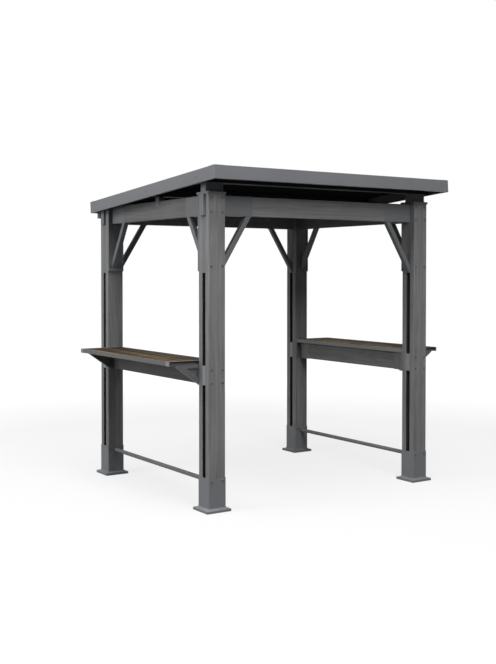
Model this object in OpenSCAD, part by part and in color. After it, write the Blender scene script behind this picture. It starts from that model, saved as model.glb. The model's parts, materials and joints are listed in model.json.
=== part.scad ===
// Grill gazebo: four split legs, through beams with knee braces, two side bars and a ribbed lean-to roof.
// X runs left to right along the open front, Y runs to the back, Z is up. The origin is on the ground,
// in the middle of the footprint. Lengths are in millimetres.

/* [Frame] */
// Distance between the leg centres, left to right
leg_spacing_x = 1930; // [1500:5:2600]
// Distance between the leg centres, front to back
leg_spacing_y = 1610; // [1200:5:2200]
// Clear height under the beams
beam_bottom = 2094; // [1950:2:2300]
// Height of a beam over its end sleeves
beam_h = 145; // [130:1:180]
// Wall of the sheet sleeve round each beam end
sleeve_t = 2; // [1.5:0.5:3]
// How far the sleeves show past the front and back braces
sleeve_past_x = 11; // [5:1:60]
// How far the sleeves show past the side braces
sleeve_past_y = 5; // [3:1:60]
// How far the beam ends stand out of the legs
beam_out = 17; // [10:1:40]
// How far the legs stand above the beams
leg_over_beam = 17; // [16:1:24]

/* [Legs] */
// Width of an upright, left to right
upright_w = 136; // [120:1:160]
// Thickness of an upright, front to back
upright_t = 48; // [36:1:60]
// Slot between the two uprights of a leg
leg_slot = 40; // [30:1:50]
// Height of the spacer at bar height
mid_spacer_h = 137; // [120:1:140]
// Height of the rim of a post cap
cap_h = 18; // [17:1:30]
// Sheet of a post cap
cap_t = 4; // [2:0.5:5]
// Room between a post cap's rim and its leg
cap_room = 2; // [1:0.5:4]

/* [Shoes] */
// Height of a leg shoe
shoe_h = 240; // [200:5:400]
// Wall of a shoe's collar
shoe_wall = 3; // [2:0.5:5]
// Room between a collar and its leg
shoe_room = 0.5; // [0.2:0.1:1]
// How far a base plate stands out of its collar
base_plate_edge = 22.5; // [20:0.5:40]
// Thickness of a shoe's base plate
base_plate_t = 6; // [4:1:8]
// Distance of the anchor holes from a base plate's edges
anchor_inset = 11.5; // [9:0.5:13]
// Diameter of an anchor hole
anchor_d = 9; // [7:0.5:10]
// Room between a base plate and its cover
base_cover_room = 3.5; // [1:0.5:10]
// Height of the upright edge of a base cover
base_cover_edge = 18; // [16:1:22]
// Height of a base cover at the shoe
base_cover_h = 30; // [28:1:40]
// Wall of a base cover
base_cover_t = 2.5; // [1.5:0.5:3]

/* [Knee braces] */
// Face width of a knee brace tube
brace_w = 38; // [30:1:45]
// Wall of a knee brace tube
brace_wall = 2; // [1.5:0.5:4]
// Lean of the knee braces from the upright
brace_lean = 32; // [26:0.5:34]
// How far the front and back braces reach down from their beam
brace_drop_x = 406; // [340:2:480]
// How far the side braces reach down from their beam
brace_drop_y = 366; // [320:2:380]
// Width of a side brace's foot on its leg bracket
brace_toe = 4; // [2:1:8]
// Distance of the side beams and braces from the outer faces of the legs
side_beam_inset = 36; // [32:1:48]
// Depth of a leg bracket's side flanges and lip
leg_bracket_d = 14; // [10:1:24]
// Plate of a leg bracket
leg_bracket_t = 4; // [3:0.5:6]
// Height of a leg bracket's lip
leg_bracket_lip = 28; // [20:1:40]

/* [Bars] */
// Height of the bar tops above the ground
bar_top = 1067; // [900:1:1150]
// Thickness of the bar tops
bar_t = 32; // [24:1:36]
// How far a bar reaches out past the legs
bar_out = 245; // [215:5:400]
// How far a bar's inner edge stays short of the legs' inner faces
bar_in = 13; // [5:1:30]
// Number of planks in a bar top
plank_count = 4; // [2:1:6]
// Gap between planks
plank_gap = 3; // [1:0.5:6]
// Thickness of the edge bands along a bar top
bar_edge_t = 6; // [4:1:10]
// Depth of the channels across a bar top's ends
bar_end_d = 25; // [15:1:40]
// Wall of an end channel
bar_end_t = 2; // [1.5:0.5:3]
// Room between a bar's ends and the legs
bar_room = 0.5; // [0.2:0.1:0.9]
// Length of a corner cap along the outer edge
corner_cap_len = 42; // [30:1:60]
// Width of a corner cap's folds round the end and under the edge
corner_cap_lip = 7; // [4:1:20]
// Sheet of a corner cap
corner_cap_t = 1.5; // [1:0.5:3]
// Height of the apron board under a bar
apron_h = 145; // [142:1:180]
// Thickness of an apron board
apron_t = 36; // [30:1:40]
// Sheet of the hangers round the apron ends
hanger_t = 2; // [1.5:0.5:3]
// Length of an apron hanger on its outer side
hanger_len = 70; // [40:1:90]
// Length of an apron hanger on its inner side
hanger_inner_len = 147; // [95:1:180]
// How far a bar bracket reaches out past the leg
bracket_reach = 188; // [160:2:210]
// Plate of a bar bracket
bracket_t = 3; // [2:0.5:4]
// Width of a bar bracket's sloping strut
bracket_strut = 38; // [28:1:44]
// Depth of the flanges under the bar top and along the strut
bracket_flange = 30; // [20:1:50]
// Depth of the upright flanges on both sides of the leg
bracket_web = 28; // [20:1:30]
// How far back the panel stands that closes the triangle
bracket_panel = 15; // [8:1:20]

/* [Foot rails] */
// Diameter of a foot rail
rail_d = 32; // [25:1:42]
// Wall of a foot rail
rail_wall = 2; // [1:0.5:3]
// How far a foot rail's centre lies below the tops of the shoes
rail_drop = 34; // [22:1:100]

/* [Roof] */
// Fall of the roof to the back, in degrees
roof_fall = 4.1; // [2.5:0.1:8]
// Room between the back post caps and the roof sheets
roof_room = 9; // [4:1:60]
// How far the roof reaches past the front legs
overhang_front = 175; // [120:5:300]
// How far the roof reaches past the back legs
overhang_back = 72; // [72:1:80]
// How far the roof reaches past the legs at each side
overhang_side = 62; // [45:1:150]
// Height of the fascia
fascia_h = 95; // [90:1:120]
// Sheet of the fascia
fascia_t = 2; // [1:0.5:2]
// Width of the fascia's top flange
fascia_top = 30; // [20:1:45]
// Width of the fascia's bottom flange
fascia_lip = 18; // [10:1:30]
// Length of a corner cover along each fascia
cover_len = 72; // [50:1:120]
// Sheet of a corner cover
cover_t = 1.5; // [1:0.5:3]
// Height of the ribs of the roof sheets
rib_h = 18; // [12:1:18]
// Distance between ribs
rib_pitch = 72; // [60:1:100]
// Width of a rib's flat top
rib_top = 22; // [14:1:26]
// Width of a rib's sloping side
rib_side = 10; // [6:1:12]
// Thickness of the roof sheets
sheet_t = 1.2; // [0.8:0.1:1.5]
// Room round the roof sheets inside the fascia
sheet_room = 0.5; // [0.2:0.1:0.9]
// Width of a purlin
purlin_w = 54; // [40:1:54]
// Height of a purlin
purlin_h = 65; // [50:1:65]
// Wall of a purlin
purlin_wall = 2; // [1.5:0.5:4]
// Width of a riser over a front leg
riser_w = 146; // [100:1:148]
// Depth of a riser
riser_d = 72; // [60:1:100]
// Width of a rear roof bracket
rear_bracket_w = 160; // [120:1:200]
// Height of a rear roof bracket
rear_bracket_h = 56; // [30:1:60]
// Width of a strut between a side beam and the middle purlin
strut_w = 60; // [40:1:100]
// How far a strut laps down over its beam
strut_lap = 37; // [20:1:60]
// Wall of risers, struts and rear brackets
box_wall = 3; // [2:0.5:4]

/* [Fasteners] */
// Diameter of the through bolts
bolt_d = 8; // [6:0.5:8]
// Room round a bolt in its hole
bolt_room = 0.5; // [0.2:0.1:0.6]
// Diameter of a bolt's domed head
bolt_head_d = 23; // [14:1:24]
// Height of a bolt's domed head
bolt_head_h = 6; // [3:0.5:6]
// Thickness of a nut
nut_h = 6; // [4:0.5:6]
// Distance of the bolts from the sides of an upright
bolt_inset = 22; // [20:1:23]
// Diameter of the roof screws' shanks
screw_d = 5; // [4:0.5:6]
// Diameter of the roof screws' heads
screw_head_d = 12; // [9:1:14]

/* [Hidden] */
$fn = 48;

post_grey = "#6f7173";
steel_grey = "#7c8083";
dark_grey = "#55585b";
plank_brown = "#6b5139";

// Sides are -1 for left and 1 for right, ends are -1 for front and 1 for back
corners = [[-1, -1], [1, -1], [-1, 1], [1, 1]];
// Cuts run this far past what they cut
over = 1;

// Legs, with sizes from a leg's own centre line
leg_d = 2 * upright_t + leg_slot;
half_w = upright_w / 2;
half_d = leg_d / 2;
half_slot = leg_slot / 2;
leg_gap_y = leg_spacing_y - leg_d;
collar_gap = shoe_room + shoe_wall;
collar_x = half_w + collar_gap;
collar_y = half_d + collar_gap;
base_plate_w = 2 * (max(collar_x, collar_y) + base_plate_edge);
anchor_spacing = base_plate_w - 2 * anchor_inset;
base_cover_w = base_plate_w + 2 * (base_cover_room + base_cover_t);

// Beams and braces
beam_top = beam_bottom + beam_h;
beam_core_t = leg_slot - 2 * sleeve_t;
core_bottom = beam_bottom + sleeve_t;
core_top = beam_top - sleeve_t;
leg_top = beam_top + leg_over_beam;
cap_top = leg_top + cap_t;
cap_bottom = cap_top - cap_h;
cap_rim = cap_room + cap_t;
slot_top = beam_bottom - brace_drop_x;
brace_lip_z = beam_bottom - brace_drop_y;
brace_cut = brace_w / cos(brace_lean);
brace_inset = brace_wall / cos(brace_lean);
brace_drift = over * tan(brace_lean);
brace_run_x = brace_drop_x * tan(brace_lean);
brace_run_y = brace_drop_y * tan(brace_lean);
side_beam_x = side_beam_inset + half_slot - half_w;
side_beam_y = half_d + leg_bracket_t;

// Bars, from a left leg's centre line
apron_top = bar_top - bar_t;
apron_bottom = apron_top - apron_h;
hanger_bottom = apron_bottom - hanger_t;
bar_outer_x = -half_w - bar_out;
bar_inner_x = half_w - bar_in;
mid_spacer_bottom = apron_bottom + (apron_h - mid_spacer_h) / 2;
mid_spacer_top = mid_spacer_bottom + mid_spacer_h;
rail_z = shoe_h - rail_drop;

// The roof has its own frame: x across, y down the slope from the front edge, z square to the roof
roof_w = leg_spacing_x + upright_w + 2 * overhang_side;
roof_run = overhang_front + leg_spacing_y + leg_d + overhang_back;
roof_len = roof_run / cos(roof_fall);
roof_front_y = -(roof_run - fascia_h * sin(roof_fall)) / 2;
leg_mid_y = roof_front_y + overhang_front + (leg_spacing_y + leg_d) / 2;
front_leg_y = leg_mid_y - leg_spacing_y / 2;
back_leg_y = leg_mid_y + leg_spacing_y / 2;
sheet_bottom = -fascia_t - rib_h;
purlin_bottom = sheet_bottom - purlin_h;
// Distance down the slope, and height, of what stands at y along the ground and z square to the roof
function slope_at(y, z) = (y - roof_front_y - z * sin(roof_fall)) / cos(roof_fall);
function ground_y(u, z) = roof_front_y + u * cos(roof_fall) + z * sin(roof_fall);
// The sheets pass over the back post caps with the stated room
cap_u = slope_at(back_leg_y + half_d + cap_rim, sheet_bottom);
roof_front_z = cap_top + roof_room + cap_u * sin(roof_fall) - sheet_bottom * cos(roof_fall);
front_purlin_u = slope_at(front_leg_y, purlin_bottom);
middle_purlin_u = roof_len / 2;
rear_purlin_gap = 3;
rear_purlin_u = roof_len - fascia_t - rear_purlin_gap - purlin_w / 2;
purlin_places = [front_purlin_u, middle_purlin_u, rear_purlin_u];
// The rear brackets stop short of the back fascia's lip
rear_bracket_room = 2;
rear_bracket_y = ground_y(roof_len - fascia_lip, -fascia_h) - rear_bracket_room;
rear_purlin_z = roof_front_z - rear_purlin_u * sin(roof_fall) + purlin_bottom * cos(roof_fall);

// Roof sheets, each with a whole number of ribs
sheet_count = 3;
sheet_span = roof_w - 2 * (fascia_t + sheet_room);
sheet_w = sheet_span / sheet_count;
sheet_ribs = floor(sheet_w / rib_pitch);
rib_step = sheet_w / sheet_ribs;
rib_foot = rib_top / 2 + rib_side;
screw_ribs = [1, floor(sheet_ribs / 2), sheet_ribs - 1];

// Bolt rows: height, and what lies outside and inside the leg under the head and the nut.
// The fourth row passes just over the lip of the leg bracket.
bolt_x = half_w - bolt_inset;
bolt_rows = [
    [shoe_h - bolt_inset, collar_gap, collar_gap],
    [mid_spacer_bottom + bolt_inset, 0, bracket_t],
    [mid_spacer_top - bolt_inset, 0, bracket_t],
    [brace_lip_z + bolt_d, 0, leg_bracket_t],
    [beam_bottom + bolt_inset, 0, leg_bracket_t],
    [beam_top - bolt_inset, 0, leg_bracket_t]
];
bolt_hole_d = bolt_d + 2 * bolt_room;
bolt_end = nut_h + 3;
nut_room = 0.15;
screw_hole_d = screw_d + 2 * bolt_room;
screw_len = 16;
washer_w = 3;
washer_t = 1;

// Puts what is drawn for the front left leg, about its own centre line, on any leg
module at_leg(side, end) {
    translate([side * leg_spacing_x / 2, leg_mid_y + end * leg_spacing_y / 2, 0])
        mirror([side > 0 ? 1 : 0, 0, 0])
            mirror([0, end > 0 ? 1 : 0, 0])
                children();
}

module at_each_leg() {
    for (c = corners)
        at_leg(c[0], c[1])
            children();
}

// Puts what is drawn for the left side, about the middle between its legs, on either side
module at_side(side) {
    translate([side * leg_spacing_x / 2, leg_mid_y, 0])
        mirror([side > 0 ? 1 : 0, 0, 0])
            children();
}

module on_roof() {
    translate([0, roof_front_y, roof_front_z])
        rotate([-roof_fall, 0, 0])
            children();
}

// All the space below the plane that the purlins lie on
module under_purlins() {
    on_roof()
        block([-roof_w, -roof_len, -roof_front_z], [roof_w, 2 * roof_len, purlin_bottom]);
}

// A box given by its lowest and highest corners
module block(low, high) {
    translate(low)
        cube(high - low);
}

// An outline in x and z, made solid from y0 to y1
module slab_xz(y0, y1) {
    translate([0, y1, 0])
        rotate([90, 0, 0])
            linear_extrude(y1 - y0)
                children();
}

// An outline in y and z, made solid from x0 to x1
module slab_yz(x0, x1) {
    translate([x0, 0, 0])
        rotate([90, 0, 90])
            linear_extrude(x1 - x0)
                children();
}

// A round bar along y
module rod_y(x, z, y0, y1, d) {
    translate([x, y1, z])
        rotate([90, 0, 0])
            cylinder(h = y1 - y0, d = d);
}

// Bolt holes across the leg, for the rows from first to last
module leg_bolt_holes(first, last) {
    for (row = [first:last], x = [-bolt_x, bolt_x])
        rod_y(x, bolt_rows[row][0], -collar_y - over, half_d + leg_bracket_d + over, bolt_hole_d);
}

// One upright board of a leg, with y0 as its outer face
module upright(side, end, y0) {
    color(post_grey)
        at_leg(side, end)
            difference() {
                block([-half_w, y0, base_plate_t], [half_w, y0 + upright_t, leg_top]);
                leg_bolt_holes(0, len(bolt_rows) - 1);
            }
}

// The collar round the foot of a leg, on its base plate
module shoe(side, end) {
    reach = base_plate_w / 2;
    color(steel_grey)
        at_leg(side, end)
            difference() {
                union() {
                    block([-collar_x, -collar_y, 0], [collar_x, collar_y, shoe_h]);
                    block([-reach, -reach, 0], [reach, reach, base_plate_t]);
                }
                block([-half_w - shoe_room, -half_d - shoe_room, base_plate_t],
                    [half_w + shoe_room, half_d + shoe_room, shoe_h + over]);
                leg_bolt_holes(0, 0);
                for (x = [-1, 1], y = [-1, 1])
                    translate([x * anchor_spacing / 2, y * anchor_spacing / 2, -over])
                        cylinder(h = base_plate_t + 2 * over, d = anchor_d);
            }
}

// A base cover's outline: an upright edge, then a hollow curve in to the collar
module cover_outline(neck, wall) {
    steps = 6;
    shoulder = 3;
    foot = base_cover_w / 2 - wall;
    edge = base_cover_edge - wall;
    run = foot - shoulder - neck;
    rise = base_cover_h - base_cover_edge - over;
    cove = [for (i = [0:steps])
        let (a = 90 * i / steps)
            [foot - shoulder - run * sin(a), edge + over + rise * (1 - cos(a))]];
    right = concat([[foot, -wall], [foot, edge - over]], cove);
    polygon(concat(right, [for (i = [len(right) - 1:-1:0]) [-right[i][0], right[i][1]]]));
}

module cover_body(wall) {
    reach = base_cover_w / 2;
    intersection() {
        slab_xz(-reach, reach) cover_outline(collar_x + shoe_room - wall, wall);
        slab_yz(-reach, reach) cover_outline(collar_y + shoe_room - wall, wall);
    }
}

// The moulded cover over a base plate
module base_cover(side, end) {
    color(steel_grey)
        at_leg(side, end)
            difference() {
                cover_body(0);
                cover_body(base_cover_t);
                block([-collar_x - shoe_room, -collar_y - shoe_room, -over],
                    [collar_x + shoe_room, collar_y + shoe_room, base_cover_h + over]);
            }
}

// The folded cap over a leg's top, deeper on the inner side, where it also covers the leg bracket
module post_cap() {
    inner_y = half_d + leg_bracket_d;
    difference() {
        block([-half_w - cap_rim, -half_d - cap_rim, cap_bottom],
            [half_w + cap_rim, inner_y + cap_rim, cap_top]);
        block([-half_w - cap_room, -half_d - cap_room, cap_bottom - over],
            [half_w + cap_room, inner_y + cap_room, leg_top]);
    }
}

// The board in the slot under the beam, cut on the slope where the brace comes in
module top_spacer() {
    difference() {
        slab_xz(-half_slot, half_slot)
            polygon([[-half_w, slot_top], [half_w - brace_cut, slot_top],
                [half_w, slot_top + brace_cut / tan(brace_lean)],
                [half_w, beam_bottom], [-half_w, beam_bottom]]);
        leg_bolt_holes(3, 3);
    }
}

// The board in the slot at bar height
module mid_spacer() {
    difference() {
        block([-half_w, -half_slot, mid_spacer_bottom], [half_w, half_slot, mid_spacer_top]);
        leg_bolt_holes(1, 2);
    }
}

// A beam through the front or back legs
module long_beam(end) {
    reach = leg_spacing_x / 2 + half_w + beam_out;
    y = leg_mid_y + end * leg_spacing_y / 2;
    color(post_grey)
        difference() {
            block([-reach, y - beam_core_t / 2, core_bottom], [reach, y + beam_core_t / 2, core_top]);
            for (side = [-1, 1])
                at_leg(side, end)
                    leg_bolt_holes(4, 5);
        }
}

// A beam between the brackets of a front and a back leg
module side_beam(side) {
    reach = leg_spacing_y / 2 - side_beam_y;
    color(post_grey)
        at_side(side)
            block([side_beam_x - beam_core_t / 2, -reach, core_bottom],
                [side_beam_x + beam_core_t / 2, reach, core_top]);
}

// The sleeve round a front or back beam, through the slot
module sleeve_x() {
    outer = -half_w - beam_out;
    inner = half_w + brace_run_x + sleeve_past_x;
    difference() {
        block([outer, -half_slot, beam_bottom], [inner, half_slot, beam_top]);
        block([outer - over, -beam_core_t / 2, core_bottom], [inner + over, beam_core_t / 2, core_top]);
        leg_bolt_holes(4, 5);
    }
}

// The sleeve round a side beam, from the leg bracket
module sleeve_y() {
    inner = side_beam_y + brace_toe + brace_run_y + sleeve_past_y;
    translate([side_beam_x, 0, 0])
        difference() {
            block([-half_slot, side_beam_y, beam_bottom], [half_slot, inner, beam_top]);
            block([-beam_core_t / 2, side_beam_y - over, core_bottom],
                [beam_core_t / 2, inner + over, core_top]);
        }
}

// The cup over a beam end, outside the leg
module beam_end_cap() {
    side_wall = 8;
    end_wall = 3;
    end = half_w + beam_out;
    difference() {
        block([-end - end_wall, -half_slot - side_wall, beam_bottom - end_wall],
            [-half_w, half_slot + side_wall, cap_bottom]);
        block([-end, -half_slot, beam_bottom], [-half_w + over, half_slot, beam_top]);
    }
}

// A sloping tube's side view between two levels: wall edges a and b at the bottom, moved by run at the top
module sloping_outline(a, b, z0, z1, run) {
    polygon([[a, z0], [b, z0], [b + run, z1], [a + run, z1]]);
}

// The brace of one leg along x: its foot stands in the slot, level with the spacer's end
module brace_x() {
    foot = half_w - brace_cut;
    difference() {
        slab_xz(-half_slot, half_slot)
            sloping_outline(foot, half_w, slot_top, beam_bottom, brace_run_x);
        slab_xz(-half_slot + brace_wall, half_slot - brace_wall)
            sloping_outline(foot + brace_inset - brace_drift, half_w - brace_inset - brace_drift,
                slot_top - over, beam_bottom + over, brace_run_x + 2 * brace_drift);
    }
}

// The brace of one leg along y: its foot stands on the bracket's lip, cut upright against the plate
module brace_y() {
    toe = side_beam_y + brace_toe;
    foot = toe - brace_cut;
    translate([side_beam_x, 0, 0])
        intersection() {
            difference() {
                slab_yz(-half_slot, half_slot)
                    sloping_outline(foot, toe, brace_lip_z, beam_bottom, brace_run_y);
                slab_yz(-half_slot + brace_wall, half_slot - brace_wall)
                    sloping_outline(foot + brace_inset - brace_drift, toe - brace_inset - brace_drift,
                        brace_lip_z - over, beam_bottom + over, brace_run_y + 2 * brace_drift);
            }
            block([-leg_slot, side_beam_y, brace_lip_z], [leg_slot, leg_spacing_y, beam_bottom]);
        }
}

// The folded plate on a leg's inner face that carries a side beam and its brace
module leg_bracket() {
    fold = 3;
    low = brace_lip_z - leg_bracket_lip;
    edge_y = half_d + leg_bracket_d;
    difference() {
        block([-half_w, half_d, low], [half_w, edge_y, leg_top]);
        block([-half_w + fold, side_beam_y, brace_lip_z], [half_w - fold, edge_y + over, leg_top + over]);
        block([-half_w + fold, side_beam_y, low - over], [half_w - fold, edge_y - fold, brace_lip_z - fold]);
        leg_bolt_holes(3, 5);
    }
}

// The planks of a bar top, between its edge bands and end channels
module bar_planks(side) {
    x0 = bar_outer_x + bar_edge_t;
    reach = leg_gap_y / 2 - bar_room - bar_end_d;
    step = (bar_inner_x - bar_edge_t - x0 + plank_gap) / plank_count;
    color(plank_brown)
        at_side(side)
            for (i = [0:plank_count - 1])
                block([x0 + i * step, -reach, apron_top],
                    [x0 + (i + 1) * step - plank_gap, reach, bar_top]);
}

// The frame of a bar top: two edge bands and an open channel across each end
module bar_edge(side) {
    reach = leg_gap_y / 2 - bar_room;
    x0 = bar_outer_x + bar_edge_t;
    x1 = bar_inner_x - bar_edge_t;
    plank_y = reach - bar_end_d;
    color(steel_grey)
        at_side(side)
            difference() {
                block([bar_outer_x, -reach, apron_top], [bar_inner_x, reach, bar_top]);
                block([x0, -plank_y, apron_top - over], [x1, plank_y, bar_top + over]);
                for (end = [0, 1])
                    mirror([0, end, 0])
                        block([x0, plank_y + bar_end_t, apron_top + bar_end_t],
                            [x1, reach + over, bar_top - bar_end_t]);
            }
}

// The folded cap round an outer corner of a bar
module corner_cap() {
    y0 = half_d + bar_room;
    difference() {
        block([bar_outer_x - corner_cap_t, y0 - corner_cap_t, apron_top - corner_cap_t],
            [bar_outer_x + corner_cap_lip, y0 + corner_cap_len, bar_top]);
        block([bar_outer_x, y0, apron_top],
            [bar_outer_x + corner_cap_lip + over, y0 + corner_cap_len + over, bar_top + over]);
    }
}

// The board under a bar, between the bar brackets
module apron(side) {
    reach = leg_gap_y / 2 - bracket_t;
    color(post_grey)
        at_side(side)
            block([-apron_t / 2, -reach, apron_bottom], [apron_t / 2, reach, apron_top]);
}

// The saddle round an apron end, longer on the inner side
module apron_hanger() {
    start = half_d + bracket_t;
    half = apron_t / 2;
    difference() {
        union() {
            block([-half - hanger_t, start, hanger_bottom], [half + hanger_t, start + hanger_len, apron_top]);
            block([half, start, hanger_bottom], [half + hanger_t, start + hanger_inner_len, apron_top]);
        }
        block([-half, start - over, apron_bottom],
            [half, start + hanger_len + over, apron_top + over]);
    }
}

// The bracket that carries a bar end: a plate on the leg, a sloping strut, flanges, and a panel set back
// in the triangle between them
module bar_bracket() {
    arm = 25;
    nose = 7;
    foot_in = 13;
    web_out = 7;
    tip = [-half_w - bracket_reach, apron_top - nose];
    foot = [-half_w + foot_in, hanger_bottom];
    web_x = -half_w - web_out;
    slant = norm(foot - tip) / (foot[0] - tip[0]);
    fall = (tip[1] - foot[1]) / (foot[0] - tip[0]);
    sheet_z = bracket_t * slant;
    web = web_x + bracket_t;
    inner_x = half_w + web_out;
    // Heights of the strut's two edges at x
    function outer_z(x) = tip[1] - (x - tip[0]) * fall;
    function inner_z(x) = outer_z(x) + bracket_strut * slant;
    arm_x = tip[0] + (inner_z(tip[0]) - apron_top + arm) / fall;
    flange_y = half_d + bracket_flange;
    saddle = apron_t / 2 + 2 * hanger_t;
    difference() {
        union() {
            slab_xz(half_d, half_d + bracket_t)
                difference() {
                    polygon([[tip[0], apron_top], tip, foot,
                        [inner_x, foot[1]], [inner_x, apron_top]]);
                    polygon([[arm_x, apron_top - arm], [web_x, apron_top - arm], [web_x, inner_z(web_x)]]);
                }
            slab_xz(half_d, flange_y)
                polygon([tip, foot, foot + [0, sheet_z], tip + [0, sheet_z]]);
            slab_xz(half_d, half_d + bracket_web)
                polygon([[web_x, outer_z(web_x)], [web, outer_z(web)], [web, apron_top], [web_x, apron_top]]);
            block([inner_x - bracket_t, half_d, foot[1]], [inner_x, half_d + bracket_web, apron_top]);
            slab_xz(half_d + bracket_panel - bracket_t, half_d + bracket_panel)
                polygon([[tip[0], apron_top], tip, [web, outer_z(web)], [web, apron_top]]);
            block([tip[0], half_d, apron_top - bracket_t], [-saddle, flange_y, apron_top]);
            block([saddle, half_d, apron_top - bracket_t], [bar_inner_x, flange_y, apron_top]);
            block([tip[0], half_d, tip[1]], [tip[0] + bracket_t, flange_y, apron_top]);
        }
        leg_bolt_holes(1, 2);
    }
}

// The foot rail between two shoes
module foot_rail(side) {
    reach = leg_gap_y / 2 - collar_gap;
    color(steel_grey)
        at_side(side)
            difference() {
                rod_y(0, rail_z, -reach, reach, rail_d);
                rod_y(0, rail_z, -reach - over, reach + over, rail_d - 2 * rail_wall);
            }
}

// An upright box tube between two corners, open at both ends
module box_tube(low, high) {
    wall = [box_wall, box_wall, -over];
    difference() {
        block(low, high);
        block(low + wall, high - wall);
    }
}

// The riser on a front leg, cut to the slope under the purlin
module riser(side) {
    color(steel_grey)
        intersection() {
            at_leg(side, -1)
                box_tube([-riser_w / 2, -riser_d / 2, cap_top], [riser_w / 2, riser_d / 2, roof_front_z]);
            under_purlins();
        }
}

// The box brackets behind the back legs, which carry the rear purlin
module rear_roof_brackets() {
    depth = rear_bracket_y - back_leg_y;
    color(steel_grey)
        intersection() {
            for (side = [-1, 1])
                at_leg(side, 1)
                    box_tube([-rear_bracket_w / 2, -depth, rear_purlin_z - rear_bracket_h],
                        [rear_bracket_w / 2, -half_d, leg_top]);
            under_purlins();
        }
}

// The saddles on the side beams, which carry the middle purlin
module mid_struts() {
    low = core_top - strut_lap;
    y = ground_y(middle_purlin_u, purlin_bottom) - leg_mid_y;
    half = beam_core_t / 2;
    color(steel_grey)
        intersection() {
            for (side = [-1, 1])
                at_side(side)
                    translate([side_beam_x, y, 0])
                        difference() {
                            block([-half - box_wall, -strut_w / 2, low],
                                [half + box_wall, strut_w / 2, roof_front_z]);
                            block([-half, -strut_w / 2 - over, low - over],
                                [half, strut_w / 2 + over, core_top]);
                            block([-half, -strut_w / 2 - over, core_top + box_wall],
                                [half, strut_w / 2 + over, roof_front_z + over]);
                        }
            under_purlins();
        }
}

// A strip across the roof, from u by depth down the slope, as far as reach on both sides
module cross_strip(u, depth, reach, z0, z1) {
    block([-reach, min(u, u + depth), z0], [reach, max(u, u + depth), z1]);
}

// The folded fascia along the front or back, with its outer face at u
module cross_fascia(u, inward) {
    color(steel_grey)
        on_roof() {
            cross_strip(u, inward * fascia_t, roof_w / 2 - fascia_t, -fascia_h, 0);
            cross_strip(u, inward * fascia_top, roof_w / 2 - fascia_top, -fascia_t, 0);
            cross_strip(u, inward * fascia_lip, roof_w / 2 - fascia_lip, -fascia_h, fascia_t - fascia_h);
        }
}

// Holes for the screws through a side fascia into the front and middle purlins, on the left
module fascia_screw_holes() {
    for (u = [front_purlin_u, middle_purlin_u])
        translate([-roof_w / 2 - over, u, -fascia_h / 2])
            rotate([0, 90, 0])
                cylinder(h = fascia_t + purlin_wall + 2 * over, d = screw_hole_d);
}

// The folded fascia along the left or right side, with its flanges to the corners
module side_fascia(side) {
    inner_x = -roof_w / 2 + fascia_t;
    color(steel_grey)
        on_roof()
            mirror([side > 0 ? 1 : 0, 0, 0])
                difference() {
                    union() {
                        block([-roof_w / 2, 0, -fascia_h], [inner_x, roof_len, 0]);
                        block([-roof_w / 2, 0, -fascia_t], [-roof_w / 2 + fascia_top, roof_len, 0]);
                        block([-roof_w / 2, 0, -fascia_h],
                            [-roof_w / 2 + fascia_lip, roof_len, fascia_t - fascia_h]);
                    }
                    block([inner_x, -over, -fascia_h - over], [roof_w / 2, fascia_t, over]);
                    block([inner_x, roof_len - fascia_t, -fascia_h - over],
                        [roof_w / 2, roof_len + over, over]);
                    fascia_screw_holes();
                }
}

// The covers round the corners of the fascia
module fascia_corner_covers() {
    color(steel_grey)
        on_roof()
            translate([0, roof_len / 2, 0])
                for (c = corners)
                    scale([-c[0], -c[1], 1])
                        difference() {
                            block([-roof_w / 2 - cover_t, -roof_len / 2 - cover_t, -fascia_h],
                                [-roof_w / 2 + cover_len, -roof_len / 2 + cover_len, 0]);
                            block([-roof_w / 2, -roof_len / 2, -fascia_h - over], [0, 0, over]);
                        }
}

// Where the sheets are screwed to the purlin at u, in the valleys between ribs
module at_sheet_screws(u) {
    for (s = [0:sheet_count - 1], i = screw_ribs)
        translate([-sheet_span / 2 + s * sheet_w + i * rib_step, u, sheet_bottom])
            children();
}

// One face of a sheet's ribs, from left to right. The slope of a rib's side moves the lower face in.
function rib_line(z, shift) = [
    for (i = [0:sheet_ribs - 1])
        let (x = (i + 0.5) * rib_step, top = rib_top / 2 - shift, foot = rib_foot - shift)
            let (crest = z + rib_h - sheet_t)
                each [[x - foot, z], [x - top, crest], [x + top, crest], [x + foot, z]]
];

// A ribbed sheet, with its ribs down the slope
module roof_sheet(index) {
    lower = rib_line(sheet_bottom, sheet_t * tan(atan2(rib_h - sheet_t, rib_side) / 2));
    upper = rib_line(sheet_bottom + sheet_t, 0);
    edge = sheet_w - (index < sheet_count - 1 ? sheet_room : 0);
    color(dark_grey)
        on_roof()
            difference() {
                translate([-sheet_span / 2 + index * sheet_w, 0, 0])
                    slab_xz(fascia_t + sheet_room, roof_len - fascia_t - sheet_room)
                        polygon(concat([[0, sheet_bottom]], lower,
                            [[edge, sheet_bottom], [edge, sheet_bottom + sheet_t]],
                            [for (i = [len(upper) - 1:-1:0]) upper[i]], [[0, sheet_bottom + sheet_t]]));
                for (u = purlin_places)
                    at_sheet_screws(u)
                        translate([0, 0, -over])
                            cylinder(h = sheet_t + 2 * over, d = screw_hole_d);
            }
}

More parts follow.
